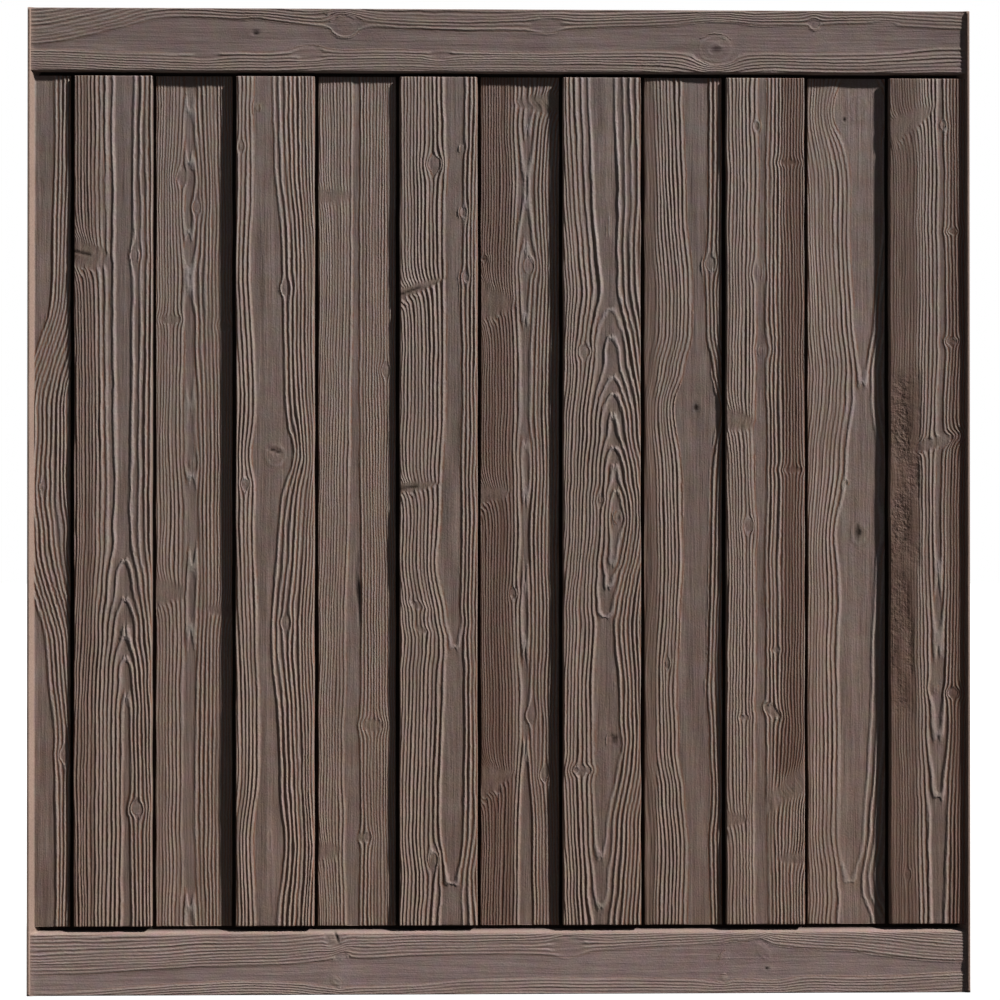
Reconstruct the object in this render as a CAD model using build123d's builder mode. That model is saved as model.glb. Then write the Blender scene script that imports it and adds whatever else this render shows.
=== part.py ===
"""Privacy fence panel, moulded in one piece to look like upright boards between two rails.

Millimetres, +Z up. The origin is the middle of the bottom edge. X runs along the panel,
and the front faces -Y. Every other board stands back, so that the rear, where the
boards swap places, has the same look.
"""

import os
from math import radians, tan

from build123d import *

# Whole panel: six feet tall, and as wide as fits between posts on six foot centres
panel_width = 1750.0
panel_height = 1829.0
panel_depth = 54.0

# Web of plastic that front and rear share at the bottom of every shadow groove
web_thickness = 7.0
groove_width = 6.0

# Raised rim down each end, where a post clasps the panel
rim_rise = 3.5
rim_crest = 4.0
rim_slope = 30.0
rim_edge_radius = 2.0
rim_end_chamfer = 4.0

# Rails across the top and the bottom
top_rail_height = 116.5
bottom_rail_height = 120.0
bottom_rail_bevel = 7.0
rail_edge_radius = 2.5

# Upright boards, counted from the left end, which starts on part of a board
first_groove = 79.5
board_pitch = 151.6
narrowest_board = 60.0
proud_drop = 1.5
side_draft = 5.0
board_edge_radius = 2.0

# How far each set-back board lies behind its neighbours: the boards were not laid level
front_recesses = (7.0, 14.0, 10.0, 12.0, 7.5, 12.0)
rear_recess = 10.5

# Levels, measured from the middle of the panel's depth
crest_level = panel_depth / 2
rail_level = crest_level - rim_rise
proud_level = rail_level - proud_drop
groove_level = web_thickness / 2

# Heights of the board ends at the bottom of the grooves
draft_run = tan(radians(side_draft))
rail_draft_run = (rail_level - groove_level) * draft_run
boards_bottom = bottom_rail_height + groove_width
boards_top = panel_height - top_rail_height - rail_draft_run - groove_width


def board_spans():
    """Left and right edge of each board at the bottom of the grooves."""
    left_end = -panel_width / 2
    room = panel_width - first_groove - narrowest_board
    groove_count = int(room // board_pitch) + 1
    grooves = [left_end + first_groove + board_pitch * i for i in range(groove_count)]
    lefts = [left_end] + [x + groove_width / 2 for x in grooves]
    rights = [x - groove_width / 2 for x in grooves] + [panel_width / 2]
    return list(zip(lefts, rights))


# Boards: every other one stands back on the front and is proud on the rear
with BuildPart() as boards:
    for number, (left, right) in enumerate(board_spans()):
        set_back = number % 2 == 0
        recess = front_recesses[number // 2 % len(front_recesses)]
        front = proud_level - recess if set_back else proud_level
        rear = proud_level if set_back else proud_level - rear_recess
        front_run = (front - groove_level) * draft_run
        rear_run = (rear - groove_level) * draft_run
        with BuildSketch(Plane.XY.offset(boards_bottom)) as section:
            with BuildLine():
                Polyline(
                    (left, -groove_level),
                    (left + front_run, -front),
                    (right - front_run, -front),
                    (right, -groove_level),
                    (right, groove_level),
                    (right - rear_run, rear),
                    (left + rear_run, rear),
                    (left, groove_level),
                    close=True,
                )
            make_face()
            rows = section.vertices().group_by(Axis.Y)
            fillet(rows[0] + rows[-1], board_edge_radius)
        extrude(amount=boards_top - boards_bottom)

    # Their ends are drafted like their sides
    end_run = (proud_level - groove_level) * draft_run
    with BuildSketch(Plane.YZ):
        with BuildLine():
            Polyline(
                (0, boards_bottom),
                (-groove_level, boards_bottom),
                (-proud_level, boards_bottom + end_run),
                (-proud_level, boards_top - end_run),
                (-groove_level, boards_top),
                (0, boards_top),
                close=True,
            )
        make_face()
        mirror(about=Plane.YZ)
    extrude(amount=panel_width / 2, both=True, mode=Mode.INTERSECT)

# Rounded block that the outside edges of the moulding are trimmed to
with BuildPart() as outside:
    Box(panel_width, panel_depth, panel_height, align=(Align.CENTER, Align.CENTER, Align.MIN))
    chamfer(outside.edges().filter_by(Axis.X), rim_end_chamfer)
    fillet(outside.edges().filter_by(Axis.Z), rim_edge_radius)

with BuildPart() as fence_panel:
    # Web behind the grooves
    Box(panel_width, web_thickness, panel_height, align=(Align.CENTER, Align.CENTER, Align.MIN))

    # Bottom rail, bevelled on top to shed water
    with BuildSketch(Plane.YZ) as bottom_rail:
        with BuildLine():
            Polyline(
                (0, 0),
                (-rail_level, 0),
                (-rail_level, bottom_rail_height - bottom_rail_bevel),
                (-groove_level, bottom_rail_height),
                (0, bottom_rail_height),
                close=True,
            )
        make_face()
        fillet(bottom_rail.vertices().group_by(Axis.X)[0], rail_edge_radius)
        mirror(about=Plane.YZ)
    extrude(amount=panel_width / 2, both=True)

    # Top rail, drafted on its underside
    top_rail_foot = panel_height - top_rail_height - rail_draft_run
    with BuildSketch(Plane.YZ) as top_rail:
        with BuildLine():
            Polyline(
                (0, panel_height),
                (-rail_level, panel_height),
                (-rail_level, panel_height - top_rail_height),
                (-groove_level, top_rail_foot),
                (0, top_rail_foot),
                close=True,
            )
        make_face()
        fillet(top_rail.vertices().group_by(Axis.X)[0], rail_edge_radius)
        mirror(about=Plane.YZ)
    extrude(amount=panel_width / 2, both=True)

    add(boards.part)

    # Rims, which stand above rails and boards and slope down to them
    rim_foot = rim_crest + (crest_level - groove_level) * tan(radians(rim_slope))
    with BuildSketch():
        with BuildLine():
            Polyline(
                (-panel_width / 2, 0),
                (-panel_width / 2, -crest_level),
                (-panel_width / 2 + rim_crest, -crest_level),
                (-panel_width / 2 + rim_foot, -groove_level),
                (-panel_width / 2 + rim_foot, 0),
                close=True,
            )
        make_face()
        mirror(about=Plane.XZ)
        mirror(about=Plane.YZ)
    extrude(amount=panel_height)

    add(outside.part, mode=Mode.INTERSECT)

fence_panel.part.label = "fence_panel"
os.makedirs("parts", exist_ok=True)
export_step(fence_panel.part, "parts/fence_panel.step")
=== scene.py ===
"""Looks of the moulded privacy fence panel: wood grain pressed into one brown plastic skin.

Lengths are millimetres until a vertex is placed. The panel stands on Z = 0, X runs along
it and the front faces -Y.
"""

import logging
from dataclasses import dataclass, field
from enum import Enum
from functools import partial
from math import radians, tan
from typing import Callable

import bmesh
import bpy
import numpy as np
from mathutils import Euler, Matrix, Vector


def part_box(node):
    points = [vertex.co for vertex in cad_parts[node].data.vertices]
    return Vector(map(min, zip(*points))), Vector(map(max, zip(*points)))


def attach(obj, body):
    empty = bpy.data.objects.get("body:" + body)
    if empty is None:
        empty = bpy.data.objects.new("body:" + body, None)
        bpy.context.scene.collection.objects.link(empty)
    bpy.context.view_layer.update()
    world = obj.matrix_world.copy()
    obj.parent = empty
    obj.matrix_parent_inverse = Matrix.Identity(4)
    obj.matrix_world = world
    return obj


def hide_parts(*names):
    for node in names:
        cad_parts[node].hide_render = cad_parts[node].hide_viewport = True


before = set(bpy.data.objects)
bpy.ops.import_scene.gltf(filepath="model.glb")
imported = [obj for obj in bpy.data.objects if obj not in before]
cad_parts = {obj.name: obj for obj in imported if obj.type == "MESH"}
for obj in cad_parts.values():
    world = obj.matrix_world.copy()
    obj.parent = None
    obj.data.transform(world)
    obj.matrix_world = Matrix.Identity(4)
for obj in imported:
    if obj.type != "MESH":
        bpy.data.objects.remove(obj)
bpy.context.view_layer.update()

log = logging.getLogger("fence_panel")

NODE = "fence_panel"
BODY = "root"
METRES = 0.001
SHARP_ANGLE = 50.0

Point = tuple[float, float]
Points = tuple[Point, ...]
Section = list[Point]
Tint = tuple[float, float, float, float]
Columns = list[list[bmesh.types.BMVert]]
Adder = Callable[..., bpy.types.NodeSocket]
Sockets = dict[str, bpy.types.NodeSocket]


class GrainRun(Enum):
    """Which way the grain runs on a face."""

    UPRIGHT = "upright"
    LENGTHWISE = "lengthwise"


class Side(Enum):
    """Which side of the panel a face is on, as the sign of its Y."""

    FRONT = -1
    REAR = 1


# Shapes of the grain


def ease(share: np.ndarray) -> np.ndarray:
    """Smooth step of a share that is held between 0 and 1."""
    held = np.clip(share, 0.0, 1.0)
    return held * held * (3.0 - 2.0 * held)


def ease_between(points: Points, at: np.ndarray) -> np.ndarray:
    """Value at each place of a line that eases from one given point to the next.

    Args:
        points: Places and values, with the places rising.
        at: Places to read the line at.

    Returns:
        The line's value at each of those places.
    """
    places = np.array([p[0] for p in points])
    values = np.array([p[1] for p in points])
    if len(points) == 1:
        return np.full_like(at, values[0])
    low = np.clip(np.searchsorted(places, at) - 1, 0, len(places) - 2)
    share = ease((at - places[low]) / (places[low + 1] - places[low]))
    return values[low] + share * (values[low + 1] - values[low])


RIDGE_TOP = 0.6


def ridge_shape(phase: np.ndarray, share: np.ndarray) -> np.ndarray:
    """Height from 0 to 1 of the ridge that each growth ring makes.

    Args:
        phase: Rings counted up to each place.
        share: Part of the ring's width that the ridge takes.

    Returns:
        1 on the ridge's crest and 0 on the flat beside it.
    """
    part = (phase - np.floor(phase)) / share
    return np.minimum(ease(part / RIDGE_TOP), ease((1.0 - part) / (1.0 - RIDGE_TOP)))


class SmoothNoise:
    """Seeded noise between -1 and 1 on cells of a given size."""

    TABLE = 61

    def __init__(self, seed: int, across: float, along: float) -> None:
        """Draws the table of values and keeps the cell's two sizes.

        Args:
            seed: Seed of the values.
            across: The cell's size across the grain.
            along: Its size along the grain.
        """
        self.values = np.random.default_rng(seed).uniform(-1.0, 1.0, (self.TABLE, self.TABLE))
        self.across = across
        self.along = along

    def __call__(self, across: np.ndarray, along: np.ndarray) -> np.ndarray:
        """Noise at each pair of places.

        Args:
            across: Places across the grain.
            along: Places along the grain.

        Returns:
            The noise, from -1 to 1.
        """
        u = across / self.across
        v = along / self.along
        i = np.floor(u).astype(int)
        j = np.floor(v).astype(int)
        su = ease(u - i)
        sv = ease(v - j)
        n = self.TABLE
        low = self.values[i % n, j % n] * (1 - su) + self.values[(i + 1) % n, j % n] * su
        high = self.values[i % n, (j + 1) % n] * (1 - su)
        high = high + self.values[(i + 1) % n, (j + 1) % n] * su
        return low * (1 - sv) + high * sv


@dataclass
class Lay:
    """How the rings lie on a grid of places, once knots and branch roots have bent them.

    moved is each place's distance across the grain as the rings see it, count the rings
    that knots add, inside how far within a knot the place is, smooth how far a branch
    root has flattened it, and pits how deep it is and how dark it is painted, as painted
    shade in a knot's heart or crack.
    """

    across: np.ndarray
    along: np.ndarray
    sway: np.ndarray
    kink: np.ndarray
    moved: np.ndarray
    count: np.ndarray
    inside: np.ndarray
    smooth: np.ndarray
    pits: np.ndarray


@dataclass(frozen=True)
class Knot:
    """A knot, by its place on the face and its half width across the grain.

    stretch is its length along the grain over its width, pit how deep its heart is and how
    dark it is painted, and rings how many rings show in it. grip is how far the board's rings
    give way to it, lean how steeply it rises across the grain, and slit how dark its crack is
    painted. Both darks are painted shade in the hole.
    """

    across: float
    along: float
    radius: float
    stretch: float = 1.6
    pit: float = 0.0
    rings: float = 1.0
    grip: float = 1.0
    lean: float = 0.0
    slit: float = 0.0

    REACH = 3.0
    # How uneven the outline is by sway and by kinks, and the radius up to which it is so
    UNEVEN_SWAY = 0.12
    UNEVEN_KINK = 0.14
    UNEVEN_RADIUS = 9.0
    # The heart: its share of the radius, what it has beyond that, and how uneven it is
    HEART_SHARE = 0.15
    HEART_MORE = 1.4
    HEART_KINK = 0.6
    # The crack: its width, its slope, and its height and half length as shares of the radius
    CRACK_WIDTH = 2.2
    CRACK_SLOPE = 0.3
    CRACK_RISE = 0.3
    CRACK_HALF = 0.5

    def press(self, lay: Lay) -> None:
        """Bends the rings round the knot, and adds its own rings, heart and crack.

        Args:
            lay: The board's rings, which are changed.
        """
        du = lay.across - self.across
        dv = (lay.along - self.along - self.lean * du) / self.stretch
        rough = min(1.0, self.UNEVEN_RADIUS / self.radius)
        uneven = (self.UNEVEN_SWAY * lay.sway + self.UNEVEN_KINK * lay.kink) * rough
        rho = np.hypot(du, dv) * (1.0 + uneven) + 1e-6
        reach = np.exp(-((rho / (self.REACH * self.radius)) ** 2))
        hold = np.where(rho < self.radius, 1.0, (self.radius / rho) ** 2 * reach)
        within = np.clip(1.0 - rho / self.radius, 0.0, 1.0)
        heart = self.HEART_SHARE * self.radius + self.HEART_MORE
        core = np.exp(-((rho * (1.0 + self.HEART_KINK * lay.kink) / heart) ** 2))
        raised = dv - self.CRACK_RISE * self.radius + self.CRACK_SLOPE * du
        half = self.CRACK_HALF * self.radius
        crack = np.exp(-((raised / self.CRACK_WIDTH) ** 2) - (du / half) ** 4)
        lay.moved = lay.moved - self.grip * du * hold
        lay.count = lay.count + within * self.rings
        lay.inside = np.maximum(lay.inside, within)
        lay.pits = np.maximum(lay.pits, np.maximum(self.pit * core, self.slit * crack))


@dataclass(frozen=True)
class Wedge:
    """Root of a branch that runs in from one edge of a board and narrows to a point.

    along is its place at that edge, length how far it reaches in, half its half height
    at the edge and lean how steeply it rises. drag is how far the rings above it are
    drawn towards its point, and those below it away. slit is how dark its crack is
    painted, as painted shade, and far puts it on the far edge.
    """

    along: float
    length: float
    half: float
    lean: float = 0.0
    drag: float = 16.0
    slit: float = 0.0
    far: bool = False

    REACH = 17.0
    # How uneven the outline is, and its half height at the point
    UNEVEN = 0.2
    POINT = 0.5
    # The smooth wood: its reach in half heights, and how blunt its tip is
    WOOD_REACH = 1.6
    WOOD_TIP = 4.0
    # The crack: its width, its share of the length, and how far it takes to end
    CRACK_WIDTH = 2.3
    CRACK_SHARE = 0.5
    CRACK_TIP = 9.0

    def press(self, lay: Lay, width: float) -> None:
        """Drags the rings along the root, and adds its smooth wood and its crack.

        Args:
            lay: The board's rings, which are changed.
            width: The board's width.
        """
        near = width - lay.across if self.far else lay.across
        taper = np.clip(1.0 - near / self.length, 0.0, 1.0)
        uneven = 1.0 + self.UNEVEN * lay.sway + self.UNEVEN * lay.kink
        half = self.half * np.sqrt(taper) * uneven + self.POINT
        dv = lay.along - self.along - self.lean * near
        over = np.maximum(np.abs(dv) - half, 0.0)
        pull = self.drag * np.exp(-over / self.REACH) * taper * np.tanh(2.0 * dv / half)
        crack = np.exp(-((dv / self.CRACK_WIDTH) ** 2))
        crack = crack * ease((self.CRACK_SHARE * self.length - near) / self.CRACK_TIP)
        wood = ease(self.WOOD_REACH - np.abs(dv) / half) * ease(self.WOOD_TIP * taper)
        lay.moved = lay.moved + pull if self.far else lay.moved - pull
        lay.smooth = np.maximum(lay.smooth, wood)
        lay.pits = np.maximum(lay.pits, self.slit * crack)


@dataclass(frozen=True)
class Strip:
    """A strip along a board, by its edges as shares of the width and by its two ends.

    warm is how red it is, relief how much of the ridges is left there, and torn how
    rough it is.
    """

    start: float
    end: float
    warm: float
    relief: float = 1.0
    low: float = -100.0
    high: float = 2000.0
    torn: float = 0.0

    # Width of the long edges as a share of the board's, how far they sway, and of the ends
    EDGE = 0.07
    EDGE_SWAY = 0.03
    END_FADE = 45.0

    def cover(self, lay: Lay, width: float) -> np.ndarray:
        """How fully the strip covers each place of a board.

        Args:
            lay: The board's rings.
            width: The board's width.

        Returns:
            1 on the strip, 0 away from it and shares at its edges.
        """
        share = lay.across / width
        edge = self.EDGE + self.EDGE_SWAY * lay.sway
        here = ease((share - self.start) / edge) * ease((self.end - share) / edge)
        here = here * ease((lay.along - self.low) / self.END_FADE)
        return here * ease((self.high - lay.along) / self.END_FADE)


@dataclass(frozen=True)
class GrainField:
    """What a face needs at each vertex: rings, ridges, its height, two tints and tears.

    The last field is 1 where the rings rise across the face and 0 where they fall, and picks
    the flank of each ridge that gets painted shade.
    """

    ring: np.ndarray
    share: np.ndarray
    relief: np.ndarray
    height: np.ndarray
    warm: np.ndarray
    dark: np.ndarray
    torn: np.ndarray
    shaded_flank: np.ndarray

    def turned(self) -> "GrainField":
        """The same field with its two axes swapped."""
        return GrainField(*(values.T for values in vars(self).values()))


@dataclass(frozen=True)
class Grain:
    """Growth rings of one board, cut so that its heart lies under a line on the face.

    heart gives that line, plain the half width of the band without rings over it, and
    peak how many rings lie over the heart, all by places along the board. Rings close in
    a point where peak passes a whole number. spacing is the distance between rings at
    the near edge, the middle and the far edge. pointed sets how sharp the rings turn
    over the heart, from 1 for a point to 2 for a round bow. boldness scales the relief,
    wander is how far the rings stray, and shade how light the board is.
    """

    seed: int
    width: float
    heart: Points
    plain: Points
    spacing: tuple[float, float, float]
    peak: Points = ((0.0, 0.6),)
    knots: tuple[Knot, ...] = ()
    wedges: tuple[Wedge, ...] = ()
    strips: tuple[Strip, ...] = ()
    pointed: float = 2.0
    boldness: float = 1.0
    wander: float = 4.0
    shade: float = 1.0

    # Cells of the board's noises across and along the grain, and of those that go by rings
    BEND = (70.0, 420.0)
    SWAY = (24.0, 80.0)
    KINK = (8.0, 30.0)
    PATCH = (20.0, 150.0)
    HOLLOW = (48.0, 170.0)
    EACH_RING = (0.8, 210.0)
    STRAY = (1.7, 900.0)
    # How far sway and kinks move the rings, and how far each one strays by itself
    SWAY_SHIFT = 1.5
    KINK_SHIFT = 0.7
    STRAY_SHIFT = 0.2
    # How softly the rings beside a plain band give way to it
    BAND_EDGE = 0.3
    # Widest ridge, its rise over its width, and how that differs by patch and by ring
    RIDGE_WIDTH = 9.0
    RIDGE_RISE = 0.42
    PATCH_SHARE = 0.25
    RING_SHARE = 0.36
    # Share of a ridge that the mesh carries, depths of hollows and pits, and rise of a knot
    MESHED = 0.75
    HOLLOW_DEPTH = 1.0
    PIT_DEPTH = 1.8
    KNOT_RISE = 0.4
    # Share of the relief that is lost in a knot and on a branch root, and of the red there
    KNOT_LOSS = 0.88
    ROOT_LOSS = 0.94
    ROOT_PALE = 0.7
    # How much of a torn strip is torn, and how far that sways
    TORN_SHARE = 0.75
    TORN_SWAY = 0.9
    # Ridges narrower than this are left to bump, and so are rings that turn across the grain
    FINEST_RIDGE = 4.2
    FINE_FADE = 1.8
    TURN = 0.55
    TURN_FADE = 0.35
    # Share of the relief that such turns lose, and that bump leaves to the mesh
    TURN_LOSS = 0.6
    BUMP_LOSS = 0.6
    # Fewest rings to a millimetre, when their turn and when their distance is worked out
    FEWEST_TURNING = 0.03
    FEWEST_RINGS = 0.02
    SCALE_STEPS = 900

    def noise(self, number: int, cell: Point) -> SmoothNoise:
        """One of the board's own noises, on cells of a given size."""
        return SmoothNoise(self.seed + number, *cell)

    def ring_scale(self) -> tuple[np.ndarray, np.ndarray]:
        """Counts rings across the face by their spacing.

        Returns:
            Places across the face, and the rings counted up to each of them.
        """
        # Well past both edges, because knots and roots move places beyond them
        places = np.linspace(-1.5 * self.width, 2.5 * self.width, self.SCALE_STEPS)
        gap = np.interp(places, (0.0, self.width / 2, self.width), self.spacing)
        steps = np.diff(places) / gap[:-1]
        return places, np.concatenate(([0.0], np.cumsum(steps)))

    def rings_at(self, moved: np.ndarray, along: np.ndarray) -> np.ndarray:
        """Counts rings outwards from the heart.

        Args:
            moved: Places across the grain, as knots have moved them.
            along: Places along the grain.

        Returns:
            The rings up to each place.
        """
        places, rings = self.ring_scale()
        heart = ease_between(self.heart, along)
        plain = ease_between(self.plain, along)
        over = ease_between(self.peak, along)
        here = np.interp(moved, places, rings)
        right = here - np.interp(heart + plain, places, rings)
        left = np.interp(heart - plain, places, rings) - here
        beyond = np.maximum(left, right)
        aside = 0.5 * (beyond + np.sqrt(beyond**2 + self.BAND_EDGE))
        power = self.pointed
        even = (aside**power + over**power) ** (1.0 / power)
        return even + self.STRAY_SHIFT * self.noise(6, self.STRAY)(even, along)

    def lay(self, across: np.ndarray, along: np.ndarray) -> Lay:
        """Lays the rings out, and presses knots and branch roots into them.

        Args:
            across: Distance across the face from its near edge.
            along: Distance along the panel from its bottom or left end.

        Returns:
            The rings on that grid of places.
        """
        bend = self.noise(0, self.BEND)(across, along)
        sway = self.noise(1, self.SWAY)(across, along)
        kink = self.noise(5, self.KINK)(across, along)
        moved = across + self.wander * bend + self.SWAY_SHIFT * sway + self.KINK_SHIFT * kink
        none = np.zeros_like(across)
        lay = Lay(across, along, sway, kink, moved, none, none, none, none)
        for knot in self.knots:
            knot.press(lay)
        for wedge in self.wedges:
            wedge.press(lay, self.width)
        return lay

    def at(self, across: np.ndarray, along: np.ndarray) -> GrainField:
        """Grain on a grid of places, with across changing along its first axis.

        Args:
            across: Distance across the face from its near edge.
            along: Distance along the panel from its bottom or left end.

        Returns:
            The grain's values on that grid.
        """
        lay = self.lay(across, along)
        ring = self.rings_at(lay.moved, along) + lay.count
        crossing = np.abs(np.gradient(ring, along[0, :], axis=1))
        climb = np.gradient(ring, across[:, 0], axis=0)
        slope = np.hypot(climb, crossing)
        # Which flank of each ridge light from the right leaves in shade, for the painted shade
        shaded_flank = ease(0.5 + climb / np.maximum(slope, self.FEWEST_TURNING))
        turned = crossing / np.maximum(slope, self.FEWEST_TURNING)
        period = 1.0 / np.maximum(slope, self.FEWEST_RINGS)
        wide = np.minimum(self.RIDGE_WIDTH, period)
        width = wide / period

        patch = self.noise(2, self.PATCH)(across, along)
        each = self.noise(3, self.EACH_RING)(np.floor(ring), along)
        hollow = self.noise(4, self.HOLLOW)(across, along)
        by_patch = 1.0 - self.PATCH_SHARE + self.PATCH_SHARE * patch
        by_ring = 1.0 - self.RING_SHARE + self.RING_SHARE * each
        valley = self.boldness * self.RIDGE_RISE * wide * by_patch
        depth = valley * (1.0 - self.KNOT_LOSS * ease(3.0 * lay.inside))
        depth = depth * (1.0 - self.ROOT_LOSS * lay.smooth)
        warm = np.zeros_like(across)
        torn = np.zeros_like(across)
        rough = ease(self.TORN_SHARE + self.TORN_SWAY * lay.sway)
        for strip in self.strips:
            here = strip.cover(lay, self.width)
            warm = np.maximum(warm, strip.warm * here)
            torn = np.maximum(torn, strip.torn * here * rough)
            depth = depth * (1.0 - (1.0 - strip.relief) * here)
        warm = warm * (1.0 - self.ROOT_PALE * lay.smooth)

        fading = 1.0 - self.TURN_LOSS * ease((turned - self.TURN) / self.TURN_FADE)
        relief = depth * by_ring * fading
        shaped = ease((wide - self.FINEST_RIDGE) / self.FINE_FADE)
        shaped = shaped * ease((self.TURN - turned) / self.TURN_FADE)
        height = self.MESHED * (shaped * relief * ridge_shape(ring, width) - valley)
        height = height - self.HOLLOW_DEPTH * (0.5 + 0.5 * hollow)
        height = height + self.KNOT_RISE * ease(1.5 * lay.inside) - self.PIT_DEPTH * lay.pits
        height = np.minimum(height, 0.0)
        bump = relief * (1.0 - self.BUMP_LOSS * shaped)
        dark = np.clip(lay.pits, 0.0, 1.0)
        return GrainField(ring, width, bump, height, warm, dark, torn, shaded_flank)


# Faces, from lines across and along them


def lines_between(start: float, end: float, step: float) -> np.ndarray:
    """Evenly spaced places from start to end, both left out, about a step apart."""
    count = max(2, round((end - start) / step))
    return np.linspace(start, end, count + 1)[1:-1]


# Lines added in the middle of a busy stretch for each that lies there anyway
CROWDING = 1.1
COUNTING_STEPS = 2000


def crowded_lines(start: float, end: float, step: float, busy: list[Point]) -> np.ndarray:
    """Places from start to end that lie closer together about each busy stretch.

    Args:
        start: First place, which is left out.
        end: Last place, which is left out.
        step: Spacing away from the busy stretches.
        busy: Middle and half length of each stretch.

    Returns:
        The places, rising.
    """
    fine = np.linspace(start, end, COUNTING_STEPS)
    density = np.full_like(fine, 1.0 / step)
    for middle, reach in busy:
        density = density + CROWDING / step * np.exp(-(((fine - middle) / reach) ** 2))
    total = np.concatenate(([0.0], np.cumsum((density[1:] + density[:-1]) / 2 * np.diff(fine))))
    count = max(2, round(total[-1]))
    return np.interp(np.linspace(0.0, total[-1], count + 1)[1:-1], total, fine)


def rounded(start: Point, corner: Point, end: Point) -> Section:
    """Rounds a corner by a short curve.

    Args:
        start: Where the curve leaves the first side.
        corner: Where the two sides would meet.
        end: Where the curve reaches the second side.

    Returns:
        Points along the curve.
    """
    points = []
    for t in (0.0, 0.25, 0.5, 0.75, 1.0):
        near, mid, far = (1 - t) ** 2, 2 * t * (1 - t), t * t
        points.append(tuple(near * a + mid * b + far * c for a, b, c in zip(start, corner, end)))
    return points


@dataclass(frozen=True)
class PanelSizes:
    """Sizes of the moulding, as in the part's source, and levels from its mid depth."""

    width: float
    height: float
    depth: float
    web: float = 7.0
    groove: float = 6.0
    rim_rise: float = 3.5
    rim_crest: float = 4.0
    rim_slope: float = 30.0
    rim_radius: float = 2.0
    rim_chamfer: float = 4.0
    top_rail: float = 116.5
    bottom_rail: float = 120.0
    bevel: float = 7.0
    rail_radius: float = 2.5
    first_groove: float = 79.5
    pitch: float = 151.6
    laid_off: tuple[float, ...] = (1.8, 1.9, -2.3, -0.7, -1.7, -1.5, -1.2, -0.4, -0.3, 1.9, 1.6)
    proud_drop: float = 1.5
    draft: float = 5.0
    board_radius: float = 2.0
    recesses: tuple[float, ...] = (7.0, 14.0, 10.0, 12.0, 7.5, 12.0)
    rear_recess: float = 10.5

    @property
    def floor(self) -> float:
        """Level of the bottom of every groove."""
        return self.web / 2

    @property
    def crest(self) -> float:
        """Level of the rim's crest."""
        return self.depth / 2

    @property
    def rail_level(self) -> float:
        """Level of the rails' faces."""
        return self.crest - self.rim_rise

    @property
    def proud_level(self) -> float:
        """Level of the proud boards' faces."""
        return self.rail_level - self.proud_drop

    @property
    def top_rail_foot(self) -> float:
        """Height where the top rail's underside meets the groove below it."""
        run = (self.rail_level - self.floor) * tan(radians(self.draft))
        return self.height - self.top_rail - run

    @property
    def low_seam(self) -> float:
        """Height of the middle of the groove above the bottom rail."""
        return self.bottom_rail + self.groove / 2

    @property
    def high_seam(self) -> float:
        """Height of the middle of the groove below the top rail."""
        return self.top_rail_foot - self.groove / 2

    def seams(self) -> list[float]:
        """Finds where one board's strip ends and the next starts.

        Returns:
            Places along the panel, with its two ends.
        """
        start = -self.width / 2
        first = start + self.first_groove
        grooves = [first + self.pitch * k + off for k, off in enumerate(self.laid_off)]
        return [start, *grooves, -start]

    def groove_edge(self, level: float, run: float, radius: float) -> Section:
        """Section from a groove's middle up its side to a face.

        Args:
            level: The face's level.
            run: How far the side leans, from the groove's floor to the face.
            radius: Rounding of the face's edge.

        Returns:
            Distances from the groove's middle with their levels.
        """
        half = self.groove / 2
        rise = level - self.floor
        lean = run / rise
        back = min(radius, 0.8 * rise)
        corner = (half + run, level)
        start = (corner[0] - lean * back, level - back)
        end = (corner[0] + radius, level)
        foot = (half, self.floor)
        thirds = [
            tuple(low + (high - low) * t for low, high in zip(foot, start)) for t in (1 / 3, 2 / 3)
        ]
        middle = [(0.0, self.floor), (half * 0.6, self.floor)]
        return [*middle, foot, *thirds, *rounded(start, corner, end)]

    def board_edge(self, level: float) -> Section:
        """Section up a drafted board side."""
        run = (level - self.floor) * tan(radians(self.draft))
        return self.groove_edge(level, run, self.board_radius)

    def outer_edge(self) -> Section:
        """Rounds a rail's outside edge.

        Returns:
            Distances from the edge with their levels.
        """
        r = self.rail_radius
        level = self.rail_level
        return rounded((0.0, level - r), (0.0, level), (r, level))

    def rim_edge(self, level: float) -> Section:
        """Section of the rim from the panel's end down to a face.

        Args:
            level: The face's level.

        Returns:
            Distances from the panel's end with their levels.
        """
        foot = self.rim_crest + (self.crest - level) * tan(radians(self.rim_slope))
        r = self.rim_radius
        turn = rounded((0.0, self.crest - r), (0.0, self.crest), (r, self.crest))
        slope = [
            (
                self.rim_crest + (foot - self.rim_crest) * t,
                self.crest + (level - self.crest) * t,
            )
            for t in (0.0, 0.2, 0.4, 0.6, 0.8, 1.0)
        ]
        return [*turn, *slope]

    def rim_level(self, x: np.ndarray, z: np.ndarray) -> np.ndarray:
        """Level of the rim, with its chamfered ends.

        Args:
            x: Places along the panel.
            z: Heights on it.

        Returns:
            The level at each place, and 0 beyond the rim's foot.
        """
        points = self.rim_edge(self.floor)
        places = [p[0] for p in points] + [points[-1][0] + 0.01]
        levels = [p[1] for p in points] + [0.0]
        section = np.interp(self.width / 2 - np.abs(x), places, levels)
        from_end = np.minimum(z, self.height - z)
        return np.minimum(section, self.crest - self.rim_chamfer + from_end)


@dataclass(frozen=True)
class Sections:
    """Sections at a face's four sides, with None where the panel's rim closes it."""

    left: Section | None
    right: Section | None
    bottom: Section
    top: Section


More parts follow.
